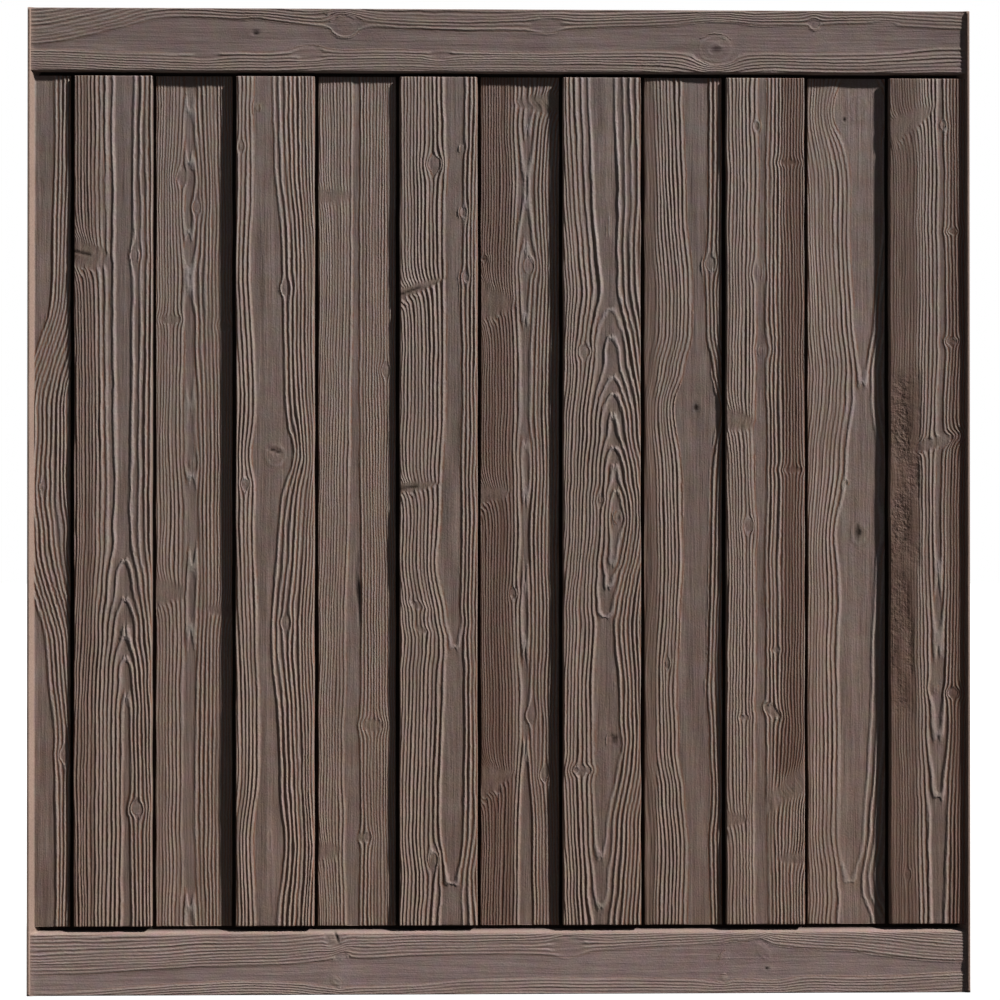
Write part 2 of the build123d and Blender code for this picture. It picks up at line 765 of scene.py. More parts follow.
@dataclass
class Face:
    """One grained face of a piece, on one side of the panel.

    steps is the spacing of its grid lines across and along the grain.
    """

    sizes: PanelSizes
    side: Side
    run: GrainRun
    span: tuple[float, float]
    rise: tuple[float, float]
    level: float
    sections: Sections
    grain: Grain
    steps: tuple[float, float]
    edge_seed: int = 0

    # Painted shade in a groove, and how fast it fades on the way up to the face
    GROOVE_SHADE = 0.9
    GROOVE_FADE = 2.2
    # Wave of a board's long edges, the noise's cell, and how far it reaches in
    EDGE_WAVE = 0.8
    WAVE_CELL = (50.0, 75.0)
    EDGE_FADE = 16.0
    # Difference of levels in which the rim blends in, and bare skin above a groove
    RIM_BLEND = 0.8
    BARE_BLEND = 6.0
    # Closer grid lines: past a knot by a share of its length and a margin, and past a root
    # about a place that is a share of its length in
    KNOT_REACH = 1.3
    KNOT_MARGIN = 8.0
    ROOT_MIDDLE = 0.4
    ROOT_MARGIN = 12.0
    # Share of the rise from groove to face at which the grain starts to show
    GRAIN_START = 0.72

    def side_lines(
        self, low: float, high: float, near: Section, far: Section, inner: Callable
    ) -> np.ndarray:
        """Grid lines in one direction.

        Args:
            low: Where the face starts.
            high: Where it ends.
            near: Section at its start.
            far: Section at its end.
            inner: Makes the lines between the two sections.

        Returns:
            The lines' places: both sections' points, and the inner lines.
        """
        start = [low + p[0] for p in near]
        end = [high - p[0] for p in far][::-1]
        return np.array([*start, *inner(start[-1], end[0]), *end])

    def inner_lines(self, across: bool) -> Callable:
        """Chooses how the lines between two sections are spaced.

        Args:
            across: Whether they follow each other across the grain.

        Returns:
            Maker of the lines from one place to another.
        """
        if across:
            return lambda a, b: lines_between(a, b, self.steps[0])
        shift = 0.0 if self.run is GrainRun.UPRIGHT else -self.sizes.width / 2
        busy = []
        for knot in self.grain.knots:
            reach = self.KNOT_REACH * knot.radius * knot.stretch + self.KNOT_MARGIN
            busy.append((knot.along + shift, reach))
        for wedge in self.grain.wedges:
            middle = wedge.along + self.ROOT_MIDDLE * wedge.lean * wedge.length
            busy.append((middle + shift, wedge.half + self.ROOT_MARGIN))
        return lambda a, b: crowded_lines(a, b, self.steps[1], busy)

    def share(
        self, lines: np.ndarray, low: float, high: float, near: Section | None, far: Section | None
    ) -> np.ndarray:
        """Share of the face's rise that its two sections reach at each line.

        Args:
            lines: Places of the grid lines.
            low: Where the face starts.
            high: Where it ends.
            near: Section at its start, or None where the rim closes it.
            far: Section at its end, or None where the rim closes it.

        Returns:
            0 at the bottom of a groove and 1 on the face.
        """
        rise = self.level - self.sizes.floor
        result = np.ones_like(lines)
        for section, distance in ((near, lines - low), (far, high - lines)):
            if section is None:
                continue
            places = [p[0] for p in section]
            levels = [(p[1] - self.sizes.floor) / rise for p in section]
            result = np.minimum(result, np.interp(distance, places, levels))
        return result

    def grain_at(self, gx: np.ndarray, gz: np.ndarray) -> GrainField:
        """Grain at each vertex, which runs up a board and along a rail.

        Args:
            gx: The vertices' places along the panel.
            gz: Their heights.

        Returns:
            The grain's values on that grid.
        """
        if self.run is GrainRun.UPRIGHT:
            return self.grain.at(gx - self.span[0], gz)
        return self.grain.at((gz - self.rise[0]).T, (gx + self.sizes.width / 2).T).turned()

    def build(self, bm: bmesh.types.BMesh) -> Columns:
        """Adds the face's grid to a piece.

        Args:
            bm: The piece's mesh.

        Returns:
            The grid's columns of vertices, from left to right.
        """
        upright = self.run is GrainRun.UPRIGHT
        floor = self.sizes.floor
        rim = self.sizes.rim_edge(self.level)
        s = self.sections
        x = self.side_lines(*self.span, s.left or rim, s.right or rim, self.inner_lines(upright))
        z = self.side_lines(*self.rise, s.bottom, s.top, self.inner_lines(not upright))
        gx, gz = np.meshgrid(x, z, indexing="ij")
        share = self.share(x, *self.span, s.left, s.right)[:, None]
        share = share * self.share(z, *self.rise, s.bottom, s.top)[None, :]
        level = floor + (self.level - floor) * share
        rim_level = self.sizes.rim_level(gx, gz)
        plain = np.maximum(level, rim_level)
        off_rim = ease((level - rim_level + self.RIM_BLEND / 2) / self.RIM_BLEND)
        shown = ease((share - self.GRAIN_START) / (1.0 - self.GRAIN_START)) * off_rim
        bare = 1.0 - off_rim if upright else 1.0 - shown
        painted_groove_shade = self.GROOVE_SHADE * ease(1.0 - self.GROOVE_FADE * share) * (plain == level)

        grain = self.grain_at(gx, gz)
        layers = {
            "ring": grain.ring,
            "share": grain.share,
            "relief": grain.relief * shown,
            "warm": grain.warm * shown,
            "torn": grain.torn * shown,
            # The rear's key light comes from the other side, so its painted shade goes on the other
            # flank
            "shaded_flank": 1.0 - grain.shaded_flank if upright and self.side is Side.REAR else grain.shaded_flank,
            "bare": bare * ease((plain - floor) / self.BARE_BLEND),
            "shade": 1.0 + (self.grain.shade - 1.0) * shown,
            "rim": 1.0 - off_rim,
            # dark is painted shade, in grooves and in knots' pits and cracks
            "dark": np.maximum(grain.dark * off_rim, painted_groove_shade),
        }
        y = self.side.value * (plain + grain.height * shown)
        places = np.stack([gx + self.edge_shift(gx, gz), y, gz], axis=-1) * METRES

        # The rear's columns run from right to left, so that its faces look outwards
        order = slice(None, None, -self.side.value)
        return add_grid(bm, places[order], {name: v[order] for name, v in layers.items()})[order]

    def edge_shift(self, gx: np.ndarray, gz: np.ndarray) -> np.ndarray:
        """How far the wavy long edges of a board move each vertex sideways.

        Args:
            gx: The vertices' places along the panel.
            gz: Their heights.

        Returns:
            The shift of each vertex, which is 0 on a rail.
        """
        total = np.zeros_like(gx)
        if self.run is GrainRun.LENGTHWISE:
            return total
        left, right = self.sections.left, self.sections.right
        ends = ((left, gx - self.span[0]), (right, self.span[1] - gx))
        for number, (section, distance) in enumerate(ends):
            if section is None:
                continue
            wave = SmoothNoise(self.edge_seed + number, *self.WAVE_CELL)
            rise = ease(distance / (0.7 * self.sizes.groove))
            fade = ease(1.0 - (distance - self.sizes.groove) / self.EDGE_FADE)
            total = total + self.EDGE_WAVE * wave(np.zeros_like(gz), gz) * rise * fade
        return total


def add_grid(bm: bmesh.types.BMesh, places: np.ndarray, layers: dict[str, np.ndarray]) -> Columns:
    """Adds a grid of faces whose vertices stand at given places.

    Args:
        bm: Mesh to add to.
        places: Place of each vertex in metres, by its column and row.
        layers: Values to keep at each vertex, by name.

    Returns:
        The columns of vertices.
    """
    columns, rows = places.shape[:2]
    bmesh.ops.create_grid(bm, x_segments=columns - 1, y_segments=rows - 1, size=0.5)
    floats = bm.verts.layers.float
    kept = {name: floats.get(name) or floats.new(name) for name in layers}
    made: list = [[None] * rows for _ in range(columns)]
    for vert in list(bm.verts)[-columns * rows :]:
        i = round((vert.co.x + 0.5) * (columns - 1))
        j = round((vert.co.y + 0.5) * (rows - 1))
        vert.co = places[i, j]
        made[i][j] = vert
        for name, layer in kept.items():
            vert[layer] = layers[name][i, j]
    return made


def outline(columns: Columns) -> Columns:
    """Left, right, bottom and top side of a grid, as rows of vertices."""
    return [columns[0], columns[-1], [c[0] for c in columns], [c[-1] for c in columns]]


def closed_piece(name: str, faces: list[Face], finish: bpy.types.Material) -> bpy.types.Object:
    """Makes one closed piece from a front and a rear face.

    Args:
        name: The piece's name.
        faces: Its two faces.
        finish: Its material.

    Returns:
        The piece, riding on the panel.
    """
    bm = bmesh.new()
    front, rear = (face.build(bm) for face in faces)
    for near, far in zip(outline(front), outline(rear)):
        pairs = [*zip(near, near[1:]), *zip(far, far[1:])]
        bmesh.ops.bridge_loops(bm, edges=[bm.edges.get(pair) for pair in pairs])
    bmesh.ops.recalc_face_normals(bm, faces=bm.faces)
    open_edges = sum(1 for e in bm.edges if not e.is_manifold)
    mesh = bpy.data.meshes.new(name)
    bm.to_mesh(mesh)
    bm.free()
    mesh.polygons.foreach_set("use_smooth", np.ones(len(mesh.polygons), dtype=bool))
    mesh.set_sharp_from_angle(angle=radians(SHARP_ANGLE))
    mesh.materials.append(finish)
    piece = bpy.data.objects.new(name, mesh)
    bpy.context.collection.objects.link(piece)
    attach(piece, BODY)
    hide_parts(NODE)
    mesh.calc_loop_triangles()
    log.info("%s: %d triangles, %d open edges", name, len(mesh.loop_triangles), open_edges)
    return piece


# Finish


def linear(hex_colour: str) -> Tint:
    """Linear colour of an sRGB hex value."""
    parts = [int(hex_colour[i : i + 2], 16) / 255 for i in (1, 3, 5)]
    return (*((c / 12.92 if c <= 0.04045 else ((c + 0.055) / 1.055) ** 2.4) for c in parts), 1.0)


def add_node(
    tree: bpy.types.NodeTree, kind: str, inputs: dict | None = None, out: int | str = 0, **settings
) -> bpy.types.NodeSocket | None:
    """Adds a shader node with its settings, its values and its links.

    Args:
        tree: Tree to add it to.
        kind: The node's type, without the ShaderNode that it starts with.
        inputs: Value or output socket for each input, by name or number.
        out: Which of its outputs is wanted, by name or number.
        **settings: Attributes of the node.

    Returns:
        That output, or None from a node that has none.
    """
    node = tree.nodes.new(f"ShaderNode{kind}")
    for key, value in settings.items():
        setattr(node, key, value)
    for key, value in (inputs or {}).items():
        if isinstance(value, bpy.types.NodeSocket):
            tree.links.new(value, node.inputs[key])
        else:
            node.inputs[key].default_value = value
    return node.outputs[out] if len(node.outputs) else None


@dataclass(frozen=True)
class Pattern:
    """A noise pattern, by the size of its marks in millimetres."""

    size: float
    detail: float
    roughness: float = 0.5

    def inputs(self, place: bpy.types.NodeSocket) -> dict:
        """Inputs of a noise that has marks of that size on a piece measured in metres."""
        scale = 1.0 / (self.size * METRES)
        return {"Vector": place, "Scale": scale, "Detail": self.detail, "Roughness": self.roughness}


@dataclass(frozen=True)
class MouldedWoodGrain:
    """Moulded polyethylene with a wood grain skin: matt, walnut brown, softly speckled.

    The colour is in the plastic. What the eye sees as grain is light and shade on the relief,
    and the colour adds painted light and shade: crests lighter, valleys darker, grooves,
    pits and cracks near black, and each ridge's shaded side redder.
    """

    name: str
    run: GrainRun
    # The grain's own fibres and streaks range from valley to ridge colour, and crests are also
    # painted lighter and valleys darker, as painted light and shade
    ridge_colour: str = "#807670"
    valley_colour: str = "#5b493f"
    warm_colour: str = "#4a352b"
    bare_colour: str = "#7c6a61"
    rim_colour: str = "#786459"
    # Painted shade: near-black colour of grooves, knot pits, cracks and torn gouges
    painted_shade_colour: str = "#1b1512"

    # Tints: at the bottom and the top, painted shade on a ridge's shaded side, and on plain bands
    low_tint: Tint = (1.0, 0.89, 0.81, 1.0)
    high_tint: Tint = (1.0, 0.99, 0.99, 1.0)
    painted_shade_tint: Tint = (1.0, 0.62, 0.45, 1.0)
    plain_tint: Tint = (1.05, 1.07, 1.13, 1.0)
    tint_height: float = 1800.0

    # Plastic off a gritty mould has a broad, weak sheen
    roughness: float = 0.7
    gloss: float = 0.16

    # The mould's grit gives a soft speckle, drawn coarser than it is so that it shows
    grit: Pattern = Pattern(3.0, 3.0, 0.6)
    grit_weight: float = 0.7
    grit_rise: float = 0.5
    # Torn wood gives crumbs about a centimetre wide, painted darker where they sink deepest, as
    # painted shade
    tears: Pattern = Pattern(11.0, 3.0, 0.65)
    tear_depth: float = 6.0
    tear_edge: Point = (0.5, 0.68)
    tear_shade: float = 0.5
    # Ridges are never quite straight
    ripple: Pattern = Pattern(8.0, 2.0)
    ripple_weight: float = 0.5
    # Pigment is mixed unevenly, so that some patches are lighter and some redder
    cloud: Pattern = Pattern(111.1, 3.0)
    cloud_weight: float = 0.3
    hues: Pattern = Pattern(22.0, 1.0)
    hue_weight: float = 0.22
    # Fibres lie along the rings, and streaks along the board
    fibre_length: float = 48.0
    fibres_per_ring: float = 2.3
    fibre_weight: float = 0.4
    fibre_rise: float = 0.3
    streak_width: float = 5.0
    streak_length: float = 110.0
    streak_weight: float = 0.75
    streak_rise: float = 1.1
    # Relief in millimetres at which a crest is fully painted lighter, as painted light, and the
    # weight of that paint
    full_relief: float = 0.5
    ridge_weight: float = 0.55
    # Tone of the skin without ridges, and the share of a stain that is worn off ridges
    plain_tone: float = 0.1
    worn: float = 0.45
    # Painted shade by shares of a ridge's width: full on the far side, its end, and on the near side
    shade_full: float = 0.95
    shade_end: float = 1.15
    near_shade: float = 0.55
    # How soon ridges that are set apart count as plain
    plainness: float = 4.0

    LAYERS = ("ring", "share", "relief", "warm", "dark", "torn", "shaded_flank", "bare", "rim", "shade")

    def patterns(self, add: Adder, at: Sockets) -> None:
        """Adds the skin's patterns.

        Args:
            add: Adds a node to the material.
            at: Sockets by name, which gain one for each pattern, and the height.
        """
        place = at["place"]
        at["grit"] = add("TexNoise", self.grit.inputs(place))
        at["tears"] = add("TexNoise", self.tears.inputs(place))
        at["ripple"] = add("TexNoise", self.ripple.inputs(place))
        at["cloud"] = add("TexNoise", self.cloud.inputs(place))
        at["hues"] = add("TexNoise", self.hues.inputs(place), out="Color")

        # The ring count is a fibre's place across the grain
        upright = self.run is GrainRun.UPRIGHT
        at["height"] = add("SeparateXYZ", {0: place}, out="Z")
        depth = add("SeparateXYZ", {0: place}, out="Y")
        along = add("SeparateXYZ", {0: place}, out="Z" if upright else "X")
        per_metre = 1.0 / (self.fibre_length * METRES)
        lengthwise = add("Math", {0: along, 1: per_metre}, operation="MULTIPLY")
        crosswise = add("Math", {0: at["ring"], 1: self.fibres_per_ring}, operation="MULTIPLY")
        lie = add("CombineXYZ", {"X": crosswise, "Y": depth, "Z": lengthwise})
        at["fibre"] = add("TexNoise", {"Vector": lie, "Scale": 1.0, "Detail": 2.0})

        thin, long = 1.0 / (self.streak_width * METRES), 1.0 / (self.streak_length * METRES)
        stretch = (thin, thin, long) if upright else (long, thin, thin)
        drawn = add("VectorMath", {0: place, 1: stretch}, operation="MULTIPLY")
        streak = {"Vector": drawn, "Scale": 1.0, "Detail": 3.0, "Roughness": 0.65}
        at["streak"] = add("TexNoise", streak)

    def ridges(self, add: Adder, at: Sockets) -> None:
        """Finds how high each place lies on a ridge, and how far it lies in painted shade.

        Args:
            add: Adds a node to the material.
            at: Sockets by name, which gain crest, shown, narrow and deep, the mask of painted shade.
        """
        smooth = {"interpolation_type": "SMOOTHSTEP"}
        falls = {"To Min": 1.0, "To Max": 0.0}
        weight = self.ripple_weight
        uneven = add("Math", {0: at["ripple"], 1: weight, 2: -weight / 2}, operation="MULTIPLY_ADD")
        counted = add("Math", {0: uneven, 1: at["share"], 2: at["ring"]}, operation="MULTIPLY_ADD")
        phase = add("Math", {0: counted}, operation="FRACT")
        part = add("Math", {0: phase, 1: at["share"]}, operation="DIVIDE")
        rise = add("MapRange", {"Value": part, "From Max": RIDGE_TOP}, **smooth)
        drop = add("MapRange", {"Value": part, "From Min": RIDGE_TOP, **falls}, **smooth)
        strength = add("MapRange", {"Value": at["relief"], "From Max": self.full_relief})
        at["crest"] = add("Math", {0: rise, 1: drop}, operation="MINIMUM")
        at["shown"] = add("Math", {0: at["crest"], 1: strength}, operation="MULTIPLY")

        # Painted shade: a redder tint on the side of each ridge that the key light leaves dark, the
        # far side or the near side as the rings rise or fall
        deepens = {"Value": part, "From Min": RIDGE_TOP, "From Max": self.shade_full}
        ends = {"Value": part, "From Min": 1.0, "From Max": self.shade_end, **falls}
        beyond = add("MapRange", deepens, **smooth)
        on_ridge = add("MapRange", ends)
        far_side = add("Math", {0: beyond, 1: on_ridge}, operation="MINIMUM")
        lightens = {"Value": part, "From Max": self.near_shade, **falls}
        near_side = add("MapRange", lightens, **smooth)
        shaded = add("Mix", {0: at["shaded_flank"], 2: far_side, 3: near_side})
        at["narrow"] = add("Math", {0: at["share"], 1: self.plainness}, operation="POWER")
        ringed = add("Math", {0: at["narrow"], 1: strength}, operation="MULTIPLY")
        at["deep"] = add("Math", {0: shaded, 1: ringed}, operation="MULTIPLY")

    def covered(self, add: Adder, at: Sockets) -> bpy.types.NodeSocket:
        """Colour of the skin before its tints: each colour covers the ones before it.

        Args:
            add: Adds a node to the material.
            at: Sockets by name.

        Returns:
            The colour's socket.
        """
        weight = self.streak_weight
        streaked = {0: at["streak"], 1: weight, 2: self.plain_tone - weight / 2}
        tone = add("Math", streaked, operation="MULTIPLY_ADD")
        # shown paints crests lighter than valleys, as painted light and shade; fibre is the grain's
        # own colour
        for name, weight in (("shown", self.ridge_weight), ("fibre", self.fibre_weight)):
            tone = add("Math", {0: at[name], 1: weight, 2: tone}, operation="MULTIPLY_ADD")
        kept = add("Math", {0: at["shown"], 1: -self.worn, 2: 1.0}, operation="MULTIPLY_ADD")
        stained = add("Math", {0: at["warm"], 1: kept}, operation="MULTIPLY")
        # Gouges are painted darker where the bump sinks them deepest: painted shade
        low, high = self.tear_edge
        crumbs = {"Value": at["tears"], "From Min": low, "From Max": high, "To Max": self.tear_shade}
        gouge = add("MapRange", crumbs, interpolation_type="SMOOTHSTEP")
        gouged = add("Math", {0: gouge, 1: at["torn"]}, operation="MULTIPLY")
        # Painted shade: gouges, grooves, knot pits and cracks take the near-black colour
        hollow = add("Math", {0: gouged, 1: at["dark"]}, operation="MAXIMUM")
        colour = linear(self.valley_colour)
        for share, cover in (
            (tone, self.ridge_colour),
            (at["bare"], self.bare_colour),
            (stained, self.warm_colour),
            (hollow, self.painted_shade_colour),
        ):
            colour = add("Mix", {0: share, 6: colour, 7: linear(cover)}, out=2, data_type="RGBA")
        return colour

    def tinted(self, add: Adder, at: Sockets) -> bpy.types.NodeSocket:
        """Colour of the skin with its speckle and its tints, and of the rim.

        Args:
            add: Adds a node to the material.
            at: Sockets by name.

        Returns:
            The colour's socket.
        """
        mottle, speck = (
            add("Math", {0: at[name], 1: weight, 2: 1.0 - weight / 2}, operation="MULTIPLY_ADD")
            for name, weight in (("cloud", self.cloud_weight), ("grit", self.grit_weight))
        )
        blotch = add("Math", {0: mottle, 1: speck}, operation="MULTIPLY")
        shade = add("Math", {0: blotch, 1: at["shade"]}, operation="MULTIPLY")
        colour = add("VectorMath", {0: self.covered(add, at), "Scale": shade}, operation="SCALE")

        blend = {"out": 2, "data_type": "RGBA"}
        level = add("Math", {0: at["height"], 1: self.tint_height * METRES}, operation="DIVIDE")
        tint = add("Mix", {0: level, 6: self.low_tint, 7: self.high_tint}, **blend)
        greyer = add("Mix", {0: at["narrow"], 6: self.plain_tint, 7: (1.0, 1.0, 1.0, 1.0)}, **blend)
        # Painted shade: the shaded side of each ridge is tinted redder
        painted_shade_mix = add("Mix", {0: at["deep"], 6: greyer, 7: self.painted_shade_tint}, **blend)
        weight = self.hue_weight
        spread = {0: at["hues"], 1: (weight,) * 3, 2: (1.0 - weight / 2,) * 3}
        bent = add("VectorMath", spread, operation="MULTIPLY_ADD")
        for stain in (tint, painted_shade_mix, bent):
            colour = add("VectorMath", {0: colour, 1: stain}, operation="MULTIPLY")
        rim = add("VectorMath", {0: linear(self.rim_colour)[:3], "Scale": blotch}, operation="SCALE")
        return add("Mix", {0: at["rim"], 6: colour, 7: rim}, **blend)

    def heights(self, add: Adder, at: Sockets) -> bpy.types.NodeSocket:
        """Fine relief in millimetres: rings, fibres along them, streaks, grit and tears.

        Args:
            add: Adds a node to the material.
            at: Sockets by name.

        Returns:
            The height's socket.
        """
        ripped = add("Math", {0: at["torn"], 1: -self.tear_depth}, operation="MULTIPLY")
        height = add("Math", {0: at["crest"], 1: at["relief"]}, operation="MULTIPLY")
        for name, rise in (
            ("fibre", self.fibre_rise),
            ("streak", self.streak_rise),
            ("grit", self.grit_rise),
            ("tears", ripped),
        ):
            height = add("Math", {0: at[name], 1: rise, 2: height}, operation="MULTIPLY_ADD")
        return height

    def make(self) -> bpy.types.Material:
        """Builds the material."""
        material = bpy.data.materials.new(self.name)
        material.use_nodes = True
        tree = material.node_tree
        tree.nodes.clear()
        add = partial(add_node, tree)
        at = {name: add("Attribute", out="Fac", attribute_name=name) for name in self.LAYERS}
        at["place"] = add("TexCoord", out="Object")
        self.patterns(add, at)
        self.ridges(add, at)
        relief = {"Height": self.heights(add, at), "Distance": METRES, "Strength": 1.0}
        # Less sheen where shade is painted in grooves, pits and cracks: painted shade on the
        # reflection
        sheen = {0: at["dark"], 1: -self.gloss, 2: self.gloss}
        skin = {
            "Base Color": self.tinted(add, at),
            "Roughness": self.roughness,
            "IOR": 1.5,
            "Specular IOR Level": add("Math", sheen, operation="MULTIPLY_ADD"),
            "Normal": add("Bump", relief),
        }
        add("OutputMaterial", {"Surface": add("BsdfPrincipled", skin)})
        return material


# The panel's pieces


@dataclass
class FencePanel:
    """The moulding, dressed as a strip for each board and a piece for each rail.

    front_steps and rear_steps are the spacing of the grid lines across and along the
    grain. A board's rear has the grain of the board that is rear_shift further on.
    """

    sizes: PanelSizes
    board_grains: list[Grain]
    rail_grains: list[Grain]
    front_steps: tuple[float, float] = (1.55, 8.0)
    rear_steps: tuple[float, float] = (3.4, 20.0)
    rear_shift: int = 5
    edge_seed: int = 100
    pieces: list[bpy.types.Object] = field(default_factory=list)

    def board_levels(self, number: int) -> tuple[float, float]:
        """Levels of a board, which is proud on one side only.

        Args:
            number: The board, counted from the left end.

        Returns:
            Its front level and its rear level.
        """
        proud = self.sizes.proud_level
        if number % 2:
            return proud, proud - self.sizes.rear_recess
        recesses = self.sizes.recesses
        return proud - recesses[number // 2 % len(recesses)], proud

    def board_face(self, number: int, side: Side) -> Face:
        """One side of a board, with its own grain on the front and another's on the rear.

        Args:
            number: The board, counted from the left end.
            side: Which side of it.

        Returns:
            The face.
        """
        sizes = self.sizes
        seams = sizes.seams()
        last = len(seams) - 2
        front, rear = self.board_levels(number)
        if side is Side.FRONT:
            level, steps, grain = front, self.front_steps, self.board_grains[number]
        else:
            other = (number + self.rear_shift) % len(self.board_grains)
            level, steps, grain = rear, self.rear_steps, self.board_grains[other]
        edge = sizes.board_edge(level)
        left, right = None if number == 0 else edge, None if number == last else edge
        sections = Sections(left, right, edge, edge)
        span = (seams[number], seams[number + 1])
        rise = (sizes.low_seam, sizes.high_seam)
        seed = self.edge_seed + 10 * number + side.value
        return Face(sizes, side, GrainRun.UPRIGHT, span, rise, level, sections, grain, steps, seed)

    def rail_face(self, top: bool, side: Side) -> Face:
        """One side of a rail.

        Args:
            top: Whether it is the top rail.
            side: Which side of it.

        Returns:
            The face.
        """
        sizes = self.sizes
        level = sizes.rail_level
        run = (level - sizes.floor) * tan(radians(sizes.draft))
        if top:
            rise = (sizes.high_seam, sizes.height)
            underside = sizes.groove_edge(level, run, sizes.rail_radius)
            sections = Sections(None, None, underside, sizes.outer_edge())
        else:
            rise = (0.0, sizes.low_seam)
            bevel = sizes.groove_edge(level, sizes.bevel, sizes.rail_radius)
            sections = Sections(None, None, sizes.outer_edge(), bevel)
        grain = self.rail_grains[top ^ (side is Side.REAR)]
        steps = self.front_steps if side is Side.FRONT else self.rear_steps
        span = (-sizes.width / 2, sizes.width / 2)
        return Face(sizes, side, GrainRun.LENGTHWISE, span, rise, level, sections, grain, steps)

    def build(self) -> None:
        """Makes every piece."""
        upright = MouldedWoodGrain("moulded_grain_upright", GrainRun.UPRIGHT).make()
        lengthwise = MouldedWoodGrain(
            "moulded_grain_lengthwise",
            GrainRun.LENGTHWISE,
            ridge_colour="#84776f",
            valley_colour="#685651",
            bare_colour="#8c7a71",
            low_tint=(1.0, 0.97, 0.97, 1.0),
            painted_shade_tint=(1.0, 0.88, 0.8, 1.0),
            plain_tint=(1.0, 1.0, 1.03, 1.0),
            streak_weight=0.95,
        ).make()
        for number in range(len(self.sizes.seams()) - 1):
            faces = [self.board_face(number, side) for side in Side]
            self.pieces.append(closed_piece(f"board_strip_{number + 1:02d}", faces, upright))
        for name, top in (("bottom_rail_strip", False), ("top_rail_strip", True)):
            faces = [self.rail_face(top, side) for side in Side]
            self.pieces.append(closed_piece(name, faces, lengthwise))


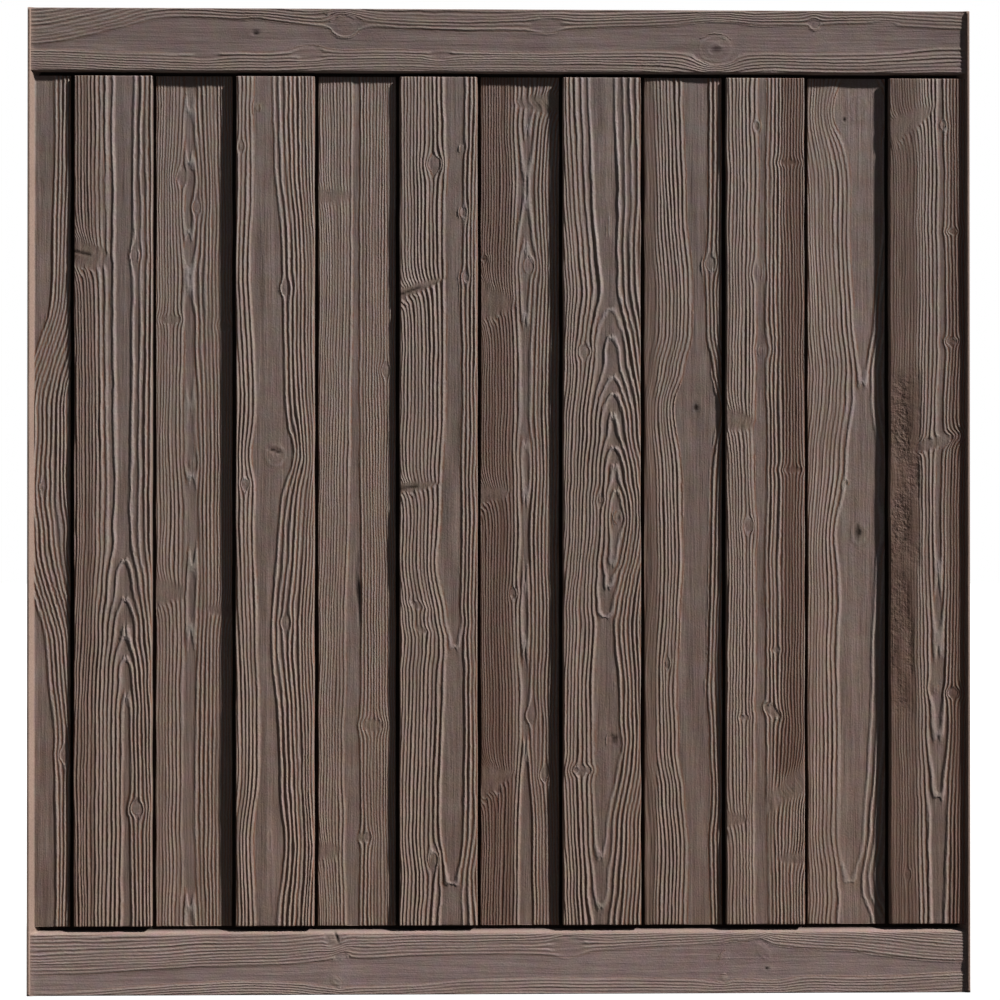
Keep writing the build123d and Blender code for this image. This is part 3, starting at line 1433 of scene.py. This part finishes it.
def board_grains() -> list[Grain]:
    """Grain of each board, from the left end, with places in millimetres on the panel."""
    return [
        Grain(
            seed=11, width=81, spacing=(8.0, 8.2, 6.6), boldness=1.15,
            heart=((127, 22), (450, 22), (650, 5), (850, -25), (930, -32), (1080, -30), (1300, 22),
                   (1700, 28)),
            plain=((127, 20), (600, 18), (800, 6), (1200, 6), (1350, 12), (1700, 10)),
            knots=(Knot(66, 445, 8), Knot(26, 1511, 5, rings=0.5), Knot(25, 1254, 5, rings=0.5),
                   Knot(26, 941, 5)),
        ),
        Grain(
            seed=12, width=151, spacing=(4.9, 7.6, 6.2), pointed=1.5, boldness=1.32,
            heart=((127, 100), (516, 100), (900, 95), (1700, 94)),
            plain=((127, 2), (345, 0), (860, 0), (1100, 3), (1700, 4)),
            peak=((127, 0.6), (430, 0.6), (516, 0.7), (590, 1.6), (670, 3.0), (760, 4.3), (841, 5.4),
                  (960, 5.6), (1700, 5.6)),
            knots=(Knot(115, 1370, 8, rings=0.5), Knot(121, 345, 10, stretch=1.2)),
            wedges=(Wedge(1378, 78, 27, lean=-0.22, drag=18, slit=0.9),),
            strips=(Strip(-0.1, 0.32, 0.6),),
        ),
        Grain(
            seed=13, width=147, spacing=(4.8, 7.2, 5.0), pointed=1.6, boldness=0.74,
            heart=((127, 66),),
            plain=((127, 3),),
            peak=((127, 0.9), (240, 1.6), (560, 1.5), (740, 0.7), (900, 1.5), (1000, 0.6),
                  (1200, 1.3), (1330, 2.0), (1463, 0.6), (1700, 2.3)),
            knots=(Knot(54, 1517, 14, stretch=1.2, rings=0.3, grip=0.6), Knot(77, 1462, 8),
                   Knot(68, 985, 6), Knot(30, 1252, 20, stretch=0.5, rings=0.3, grip=0.3),
                   Knot(128, 1240, 14, stretch=0.7, rings=0.3, grip=0.3)),
            wedges=(Wedge(745, 64, 26, drag=9), Wedge(712, 54, 14, drag=8, far=True)),
        ),
        Grain(
            seed=14, width=152, spacing=(6.2, 9.4, 5.4), boldness=1.15, shade=1.06,
            heart=((127, 62), (285, 66), (462, 70), (660, 60), (850, 62), (995, 70), (1350, 59),
                   (1700, 55)),
            plain=((127, 9), (285, 19), (400, 10), (480, 9), (650, 5), (900, 16), (1000, 19),
                   (1180, 18), (1350, 21), (1550, 12), (1700, 11)),
            knots=(Knot(66, 285, 19, stretch=3.4, rings=0.8, grip=0.3), Knot(43, 1644, 6),
                   Knot(14, 1572, 6), Knot(94, 1310, 7, rings=0.5),
                   Knot(76, 1000, 26, stretch=1.1, rings=2.0, slit=1.0), Knot(22, 946, 7),
                   Knot(96, 690, 7, rings=0.5)),
        ),
        Grain(
            seed=15, width=151, spacing=(4.5, 6.4, 5.0), boldness=0.76, shade=1.06,
            heart=((127, 70), (400, 66), (900, 68), (1700, 72)),
            plain=((127, 6), (300, 9), (700, 8), (1000, 3), (1300, 1), (1700, 1)),
            knots=(Knot(128, 1158, 8), Knot(77, 757, 3, stretch=14.0, pit=0.9, rings=0.0, grip=0.5),
                   Knot(104, 498, 20, stretch=0.7, rings=0.3, grip=0.4),
                   Knot(87, 290, 14, stretch=0.8, rings=0.3, grip=0.4)),
            wedges=(Wedge(1482, 74, 13, drag=4), Wedge(265, 48, 16, drag=5)),
        ),
        Grain(
            seed=16, width=151, spacing=(5.9, 8.2, 7.0), boldness=1.25,
            heart=((127, 101), (220, 101), (600, 106), (658, 106), (800, 97), (920, 100), (1100, 106),
                   (1700, 106)),
            plain=((127, 6), (195, 2), (215, 0), (300, 8), (600, 5), (640, 1), (658, 0), (700, 4),
                   (800, 13), (920, 11), (1100, 7), (1700, 7)),
            peak=((127, 2.6), (190, 2.5), (215, 2.0), (250, 1.6), (625, 1.55), (658, 1.0), (690, 0.6),
                  (1700, 0.6)),
            knots=(Knot(69, 1541, 12, stretch=1.2), Knot(120, 1570, 5, rings=0.5), Knot(121, 1451, 6),
                   Knot(126, 1330, 6, rings=0.5),
                   Knot(35, 722, 13, stretch=0.5, rings=0.3, grip=0.4, lean=-0.4),
                   Knot(45, 676, 11, stretch=0.6, rings=0.3, grip=0.4, lean=-0.4), Knot(66, 250, 8)),
            wedges=(Wedge(1297, 92, 10, lean=0.36, drag=17, slit=0.9),
                    Wedge(938, 84, 9, lean=0.12, drag=15, slit=0.9)),
        ),
        Grain(
            seed=17, width=151, spacing=(4.5, 6.6, 6.4), pointed=1.6, boldness=1.05,
            heart=((127, 86), (1700, 88)),
            plain=((127, 8), (300, 6), (450, 0), (1700, 0)),
            peak=((127, 0.6), (380, 0.6), (535, 1.8), (700, 0.8), (860, 1.6), (980, 0.7), (1080, 1.8),
                  (1180, 1.7), (1320, 0.6), (1500, 2.1), (1650, 0.8), (1700, 0.7)),
            knots=(Knot(90, 1353, 9), Knot(8, 1366, 8, stretch=0.6), Knot(64, 742, 7),
                   Knot(96, 517, 9), Knot(120, 405, 8, rings=0.5)),
            wedges=(Wedge(1284, 72, 32), Wedge(926, 62, 18, lean=0.1, drag=14),
                    Wedge(392, 70, 26, lean=0.25, drag=20), Wedge(1656, 95, 18, drag=12, far=True)),
            strips=(Strip(-0.1, 0.45, 0.85, relief=0.85),),
        ),
        Grain(
            seed=18, width=151, spacing=(5.2, 7.8, 6.6), pointed=1.45, boldness=1.15,
            heart=((127, 74), (300, 74), (470, 84), (700, 83), (882, 105), (1100, 97), (1290, 90),
                   (1435, 84), (1700, 77)),
            plain=((127, 0), (300, 0), (430, 9), (560, 10), (690, 2), (800, 0), (1300, 0), (1380, 2),
                   (1480, 8), (1700, 10)),
            peak=((127, 5.5), (200, 4.7), (300, 3.8), (430, 3.5), (690, 3.4), (720, 2.8), (771, 2.0),
                  (809, 1.0), (882, 0.5), (910, 0.6), (960, 2.0), (1050, 4.0), (1180, 6.5),
                  (1315, 8.6), (1700, 8.6)),
            knots=(Knot(106, 884, 10, pit=0.4, rings=1.6), Knot(74, 917, 6),
                   Knot(40, 415, 18, stretch=0.5, pit=0.3, rings=0.4, grip=0.5),
                   Knot(98, 470, 14, stretch=1.5, pit=0.7, rings=0.0, slit=0.8),
                   Knot(89, 1425, 7, stretch=6.0, rings=0.8, grip=0.6),
                   Knot(44, 1192, 9, stretch=1.2)),
        ),
        Grain(
            seed=19, width=151, spacing=(6.2, 7.4, 7.4), boldness=1.1,
            heart=((127, 105), (366, 106), (454, 98), (586, 94), (806, 101), (1089, 100), (1250, 101),
                   (1700, 97)),
            plain=((127, 16), (278, 12), (366, 18), (454, 22), (806, 20), (950, 22), (1089, 30),
                   (1160, 18), (1230, 6), (1300, 5), (1450, 13), (1700, 17)),
            knots=(Knot(99, 1089, 25, stretch=1.4, pit=0.9, rings=0.9), Knot(46, 612, 5, stretch=2.0),
                   Knot(125, 1357, 8, rings=0.5)),
            strips=(Strip(-0.1, 0.2, 0.36, relief=0.2),),
        ),
        Grain(
            seed=20, width=154, spacing=(5.8, 7.6, 4.7), shade=1.06,
            heart=((127, 70), (600, 70), (1200, 68), (1700, 69)),
            plain=((127, 3), (500, 2), (800, 1), (1000, 5), (1200, 1), (1350, 1), (1500, 0),
                   (1700, 3)),
            knots=(Knot(61, 1613, 6), Knot(63, 1340, 8, rings=0.5), Knot(70, 1195, 8),
                   Knot(46, 870, 8), Knot(121, 1546, 18, stretch=0.4, rings=0.3, grip=0.3),
                   Knot(127, 973, 18, stretch=0.4, rings=0.3, grip=0.3),
                   Knot(88, 524, 16, stretch=0.7, rings=0.3, grip=0.5, lean=-0.5),
                   Knot(38, 512, 10, stretch=0.6, rings=0.3, grip=0.4),
                   Knot(95, 638, 10, stretch=0.5, rings=0.2, grip=0.3)),
            wedges=(Wedge(1066, 64, 20, lean=-0.1, drag=10),
                    Wedge(405, 96, 26, lean=-0.75, drag=9, far=True), Wedge(322, 46, 12, drag=8),
                    Wedge(250, 60, 12, drag=8, far=True)),
            strips=(Strip(0.66, 0.99, 0.85, relief=0.9, low=380),
                    Strip(0.58, 0.95, 0.95, relief=0.9, low=375, high=500),
                    Strip(0.86, 0.98, 0.6, relief=0.9, low=240, high=330),
                    Strip(0.3, 0.64, 0.0, relief=0.45, high=440)),
        ),
        Grain(
            seed=21, width=151, spacing=(5.4, 8.2, 10.0), boldness=0.7, shade=1.14,
            heart=((127, 92), (214, 82), (600, 92), (800, 98), (1000, 106), (1149, 105), (1300, 108),
                   (1500, 112), (1650, 100), (1707, 98)),
            plain=((127, 14), (185, 3), (214, 0), (300, 9), (600, 18), (850, 20), (1000, 16),
                   (1110, 3), (1149, 0), (1250, 12), (1400, 24), (1600, 24), (1700, 18)),
            peak=((127, 2.6), (185, 2.5), (214, 2.0), (260, 1.6), (1100, 1.55), (1149, 1.0),
                  (1200, 0.6), (1700, 0.6)),
            knots=(Knot(96, 1650, 36, stretch=1.1, rings=1.6),
                   Knot(72, 1628, 10, stretch=1.3, pit=1.0, rings=0.0, grip=0.5),
                   Knot(76, 949, 4, stretch=1.4, pit=0.6),
                   Knot(100, 856, 24, stretch=1.3, pit=0.9, rings=1.6)),
        ),
        Grain(
            seed=22, width=154, spacing=(4.4, 6.2, 5.2), boldness=0.95,
            heart=((127, 92), (900, 92), (1250, 101), (1700, 101)),
            plain=((127, 0),),
            peak=((127, 4.7), (330, 4.5), (386, 4.0), (510, 3.0), (661, 2.0), (783, 1.0), (850, 0.5),
                  (1700, 0.6)),
            knots=(Knot(104, 1616, 6), Knot(121, 1418, 9, stretch=0.6),
                   Knot(121, 1213, 9, stretch=0.6, rings=0.5),
                   Knot(84, 1022, 42, stretch=0.3, rings=0.3, grip=0.4, lean=0.3), Knot(89, 565, 9),
                   Knot(121, 557, 11, stretch=0.9, rings=0.3), Knot(37, 220, 6)),
            wedges=(Wedge(1600, 96, 20, lean=0.55, drag=14),),
            strips=(Strip(-0.1, 0.38, 0.58, relief=0.4),
                    Strip(-0.1, 0.42, 0.66, relief=0.3, low=770, high=1175, torn=1.0),
                    Strip(-0.1, 0.34, 0.7, relief=0.4, low=500, high=830, torn=0.6),
                    Strip(0.72, 1.1, 0.85)),
        ),
    ]


def rail_grains() -> list[Grain]:
    """Grain of the bottom rail and the top rail, with places from the left end."""
    return [
        Grain(
            seed=31, width=123, spacing=(5.0, 6.2, 4.6), boldness=0.66, wander=10.0, shade=1.18,
            heart=((0, 30), (500, 40), (900, 52), (1400, 58), (1750, 50)),
            plain=((0, 10), (450, 14), (600, 24), (900, 16), (1300, 28), (1500, 20), (1750, 6)),
            knots=(Knot(107, 566, 20, stretch=1.0, rings=0.0, grip=0.4, slit=1.0),
                   Knot(60, 575, 20, stretch=0.8, rings=0.6, grip=0.5, lean=0.5),
                   Knot(26, 570, 16, stretch=0.8, rings=1.4, grip=0.3, lean=-0.5),
                   Knot(66, 1290, 20, stretch=0.6, rings=1.4, grip=0.6, lean=0.5),
                   Knot(76, 1365, 26, stretch=0.7, rings=1.4, grip=0.6, lean=-0.5),
                   Knot(46, 1370, 13, stretch=1.5, pit=1.0, rings=0.0, grip=0.4),
                   Knot(30, 1290, 8, stretch=1.2),
                   Knot(88, 1000, 20, stretch=1.8, rings=0.0, grip=0.4)),
        ),
        Grain(
            seed=32, width=121, spacing=(4.6, 6.4, 5.2), boldness=0.76, wander=10.0, shade=0.91,
            heart=((0, 50), (280, 68), (600, 66), (900, 64), (1300, 62), (1750, 64)),
            plain=((0, 2), (280, 28), (420, 24), (560, 14), (900, 16), (1250, 18), (1500, 20),
                   (1750, 10)),
            knots=(Knot(74, 421, 15, stretch=1.5, pit=1.0, rings=0.0, grip=0.5),
                   Knot(89, 585, 20, stretch=1.3, rings=2.2),
                   Knot(38, 520, 16, stretch=2.0, rings=0.0, grip=0.4),
                   Knot(36, 330, 12, stretch=2.4, rings=0.0, grip=0.35),
                   Knot(40, 762, 14, rings=0.4, grip=0.45),
                   Knot(92, 960, 16, stretch=2.2, rings=0.0, grip=0.4),
                   Knot(48, 1275, 28, stretch=1.3, pit=0.6, rings=2.6),
                   Knot(96, 1460, 10, stretch=1.0, pit=0.5),
                   Knot(90, 1590, 14, stretch=2.2, rings=0.0, grip=0.4)),
        ),
    ]


# Floor, light and camera


@dataclass(frozen=True)
class Studio:
    """White sweep, a raking key light from the upper right and a softer one behind."""

    key_from: tuple[float, float, float] = (0.738, -0.316, 0.596)
    key_strength: float = 8.0
    key_angle: float = 3.0
    rear_from: tuple[float, float, float] = (-0.68, 0.42, 0.60)
    rear_strength: float = 6.0
    fill: str = "#7991ae"
    fill_strength: float = 0.145
    floor_size: float = 30.0
    floor_colour: str = "#f4f4f4"
    floor_glow: float = 0.8
    floor_bounce: str = "#333333"
    white: str = "#ffffff"
    camera_place: tuple[float, float, float] = (-0.115, -5.0, 0.887)
    camera_turn: float = -1.315
    camera_tilt: float = 0.343
    lens: float = 96.55
    sensor: float = 36.0

    def lamp(self, name: str, source: tuple[float, float, float], strength: float) -> None:
        """Adds a sun lamp.

        Args:
            name: The lamp's name.
            source: Direction that it shines from.
            strength: Its strength.
        """
        light = bpy.data.lights.new(name, "SUN")
        light.energy = strength
        light.angle = radians(self.key_angle)
        lamp = bpy.data.objects.new(name, light)
        lamp.rotation_euler = Vector(source).to_track_quat("Z", "Y").to_euler()
        bpy.context.collection.objects.link(lamp)

    def seen(self, tree: bpy.types.NodeTree) -> bpy.types.NodeSocket:
        """Finds the rays that show the background: camera, mirror and glass rays.

        Args:
            tree: Tree to look in.

        Returns:
            Socket that is 1 for those rays.
        """
        shown = add_node(tree, "LightPath", out="Is Camera Ray")
        for name in ("Is Glossy Ray", "Is Transmission Ray"):
            ray = add_node(tree, "LightPath", out=name)
            shown = add_node(tree, "Math", {0: shown, 1: ray}, operation="MAXIMUM")
        return shown

    def floor(self) -> None:
        """Adds the white floor, which shows a pale shadow and throws little light back."""
        bm = bmesh.new()
        bmesh.ops.create_grid(bm, x_segments=1, y_segments=1, size=self.floor_size)
        mesh = bpy.data.meshes.new("floor")
        bm.to_mesh(mesh)
        bm.free()
        material = bpy.data.materials.new("white_floor")
        material.use_nodes = True
        tree = material.node_tree
        tree.nodes.clear()
        bounce = add_node(tree, "BsdfDiffuse", {"Color": linear(self.floor_bounce)})
        white = add_node(tree, "BsdfDiffuse", {"Color": linear(self.floor_colour)})
        glow = add_node(tree, "Emission", {"Color": linear(self.white), "Strength": 1.0})
        pale = add_node(tree, "MixShader", {0: self.floor_glow, 1: white, 2: glow})
        surface = add_node(tree, "MixShader", {0: self.seen(tree), 1: bounce, 2: pale})
        add_node(tree, "OutputMaterial", {"Surface": surface})
        mesh.materials.append(material)
        floor = bpy.data.objects.new("floor", mesh)
        bpy.context.collection.objects.link(floor)

    def world(self) -> None:
        """Sets a white background that lights the panel as a dim, slightly blue sky."""
        world = bpy.data.worlds.new("studio")
        world.use_nodes = True
        tree = world.node_tree
        tree.nodes.clear()
        dim = {"Color": linear(self.fill), "Strength": self.fill_strength}
        sky = add_node(tree, "Background", dim)
        white = add_node(tree, "Background", {"Color": linear(self.white), "Strength": 1.0})
        both = add_node(tree, "MixShader", {0: self.seen(tree), 1: sky, 2: white})
        add_node(tree, "OutputWorld", {"Surface": both})
        bpy.context.scene.world = world

    def camera(self) -> None:
        """Adds the camera, almost square to the front."""
        data = bpy.data.cameras.new("camera")
        data.lens = self.lens
        data.sensor_width = self.sensor
        camera = bpy.data.objects.new("camera", data)
        camera.location = self.camera_place
        tilt = radians(90.0 + self.camera_tilt)
        camera.rotation_euler = Euler((tilt, 0.0, radians(self.camera_turn)))
        bpy.context.collection.objects.link(camera)
        bpy.context.scene.camera = camera

    def build(self) -> None:
        """Adds the floor, the lights, the background and the camera."""
        self.floor()
        self.world()
        self.lamp("key", self.key_from, self.key_strength)
        self.lamp("rear", self.rear_from, self.rear_strength)
        self.camera()
        bpy.context.scene.view_settings.view_transform = "Standard"


def main() -> None:
    """Builds the panel and the studio."""
    logging.basicConfig(level=logging.INFO, format="%(name)s: %(message)s")
    low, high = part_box(NODE)
    width, depth, height = ((b - a) / METRES for a, b in zip(low, high))
    panel = FencePanel(PanelSizes(width, height, depth), board_grains(), rail_grains())
    panel.build()
    Studio().build()


if __name__ == "__main__":
    main()
